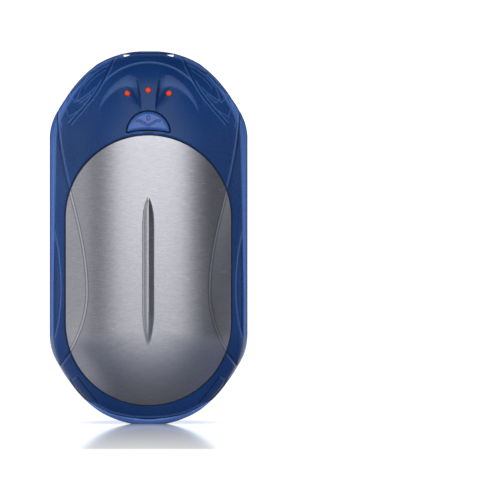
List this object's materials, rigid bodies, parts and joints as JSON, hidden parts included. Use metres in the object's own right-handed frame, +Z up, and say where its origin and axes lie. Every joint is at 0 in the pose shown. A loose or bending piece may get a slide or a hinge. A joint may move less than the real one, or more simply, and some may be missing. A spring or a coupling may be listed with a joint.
{
  "type": "rechargeable hand warmer",
  "caption": "Pebble-shaped pocket hand warmer with aluminium heat plates front and back, a pressed power button, lamps, a strap loop and a charging port.",
  "frame": {"origin": "centre of the foot, on the surface that the hand warmer stands on", "axes": "+Z up along the length to the strap loop, -Y out of the front plate and the button, +X to the right seen from the front"},
  "size_m": [0.0584, 0.0272, 0.11],
  "materials": {
    "navy_plastic": "moulded navy plastic, low gloss with fine grain",
    "satin_aluminium": "satin brushed, fine horizontal grain",
    "heater_film": "polyimide film with etched tracks",
    "bezel_plastic": "moulded mid-blue plastic, low gloss",
    "strap_plastic": "moulded navy plastic, low gloss",
    "button_plastic": "moulded light blue plastic, satin",
    "plunger_plastic": "moulded nylon",
    "switch_plastic": "moulded black nylon",
    "light_guide": "clear acrylic lit orange-red from behind",
    "lamp": "lit orange-red lamp",
    "circuit_board": "green solder mask on glass-fibre board",
    "chip": "moulded epoxy",
    "small_parts": "ceramic with tinned ends",
    "socket_steel": "drawn stainless steel",
    "black_plastic": "moulded black nylon",
    "ferrite": "pressed ferrite",
    "cell_can": "nickel-plated can",
    "cell_wrap": "shrunk sleeve",
    "insulator": "fish paper",
    "nickel": "rolled nickel strip",
    "foam": "closed-cell foam",
    "thermistor_glass": "glass bead",
    "lead": "red silicone insulation",
    "screw_steel": "zinc-plated steel"
  },
  "bodies": {
    "housing": {"front_cover": "navy_plastic", "back_cover": "navy_plastic", "front_heat_plate": "satin_aluminium", "back_heat_plate": "satin_aluminium", "front_heater_film": "heater_film", "back_heater_film": "heater_film", "port_bezel": "bezel_plastic", "strap_loop": "strap_plastic", "tact_switch": "switch_plastic", "light_guide": "light_guide", "indicator_lamps": "lamp", "main_board": "circuit_board", "control_chip": "chip", "board_parts": "small_parts", "port_board": "circuit_board", "usb_socket": "socket_steel", "usb_tongue": "black_plastic", "charge_chip": "chip", "power_inductor": "ferrite", "port_parts": "small_parts", "cell_left": "cell_can", "cell_right": "cell_can", "cell_wraps": "cell_wrap", "cell_insulators": "insulator", "top_tab": "nickel", "bottom_tab": "nickel", "top_holder": "black_plastic", "bottom_holder": "black_plastic", "front_pads": "foam", "back_pads": "foam", "thermistor": "thermistor_glass", "link_leads": "lead", "cell_leads": "lead", "heater_leads": "lead", "housing_screws": "screw_steel", "board_screws": "screw_steel"},
    "button": {"power_button": "button_plastic", "switch_plunger": "plunger_plastic"}
  },
  "joints": [
    {"name": "button_press", "type": "slide", "parent": "housing", "child": "button", "axis": [0, 1, 0], "range_m": [0, 0.00035], "stiffness_N_per_m": 4000}
  ]
}
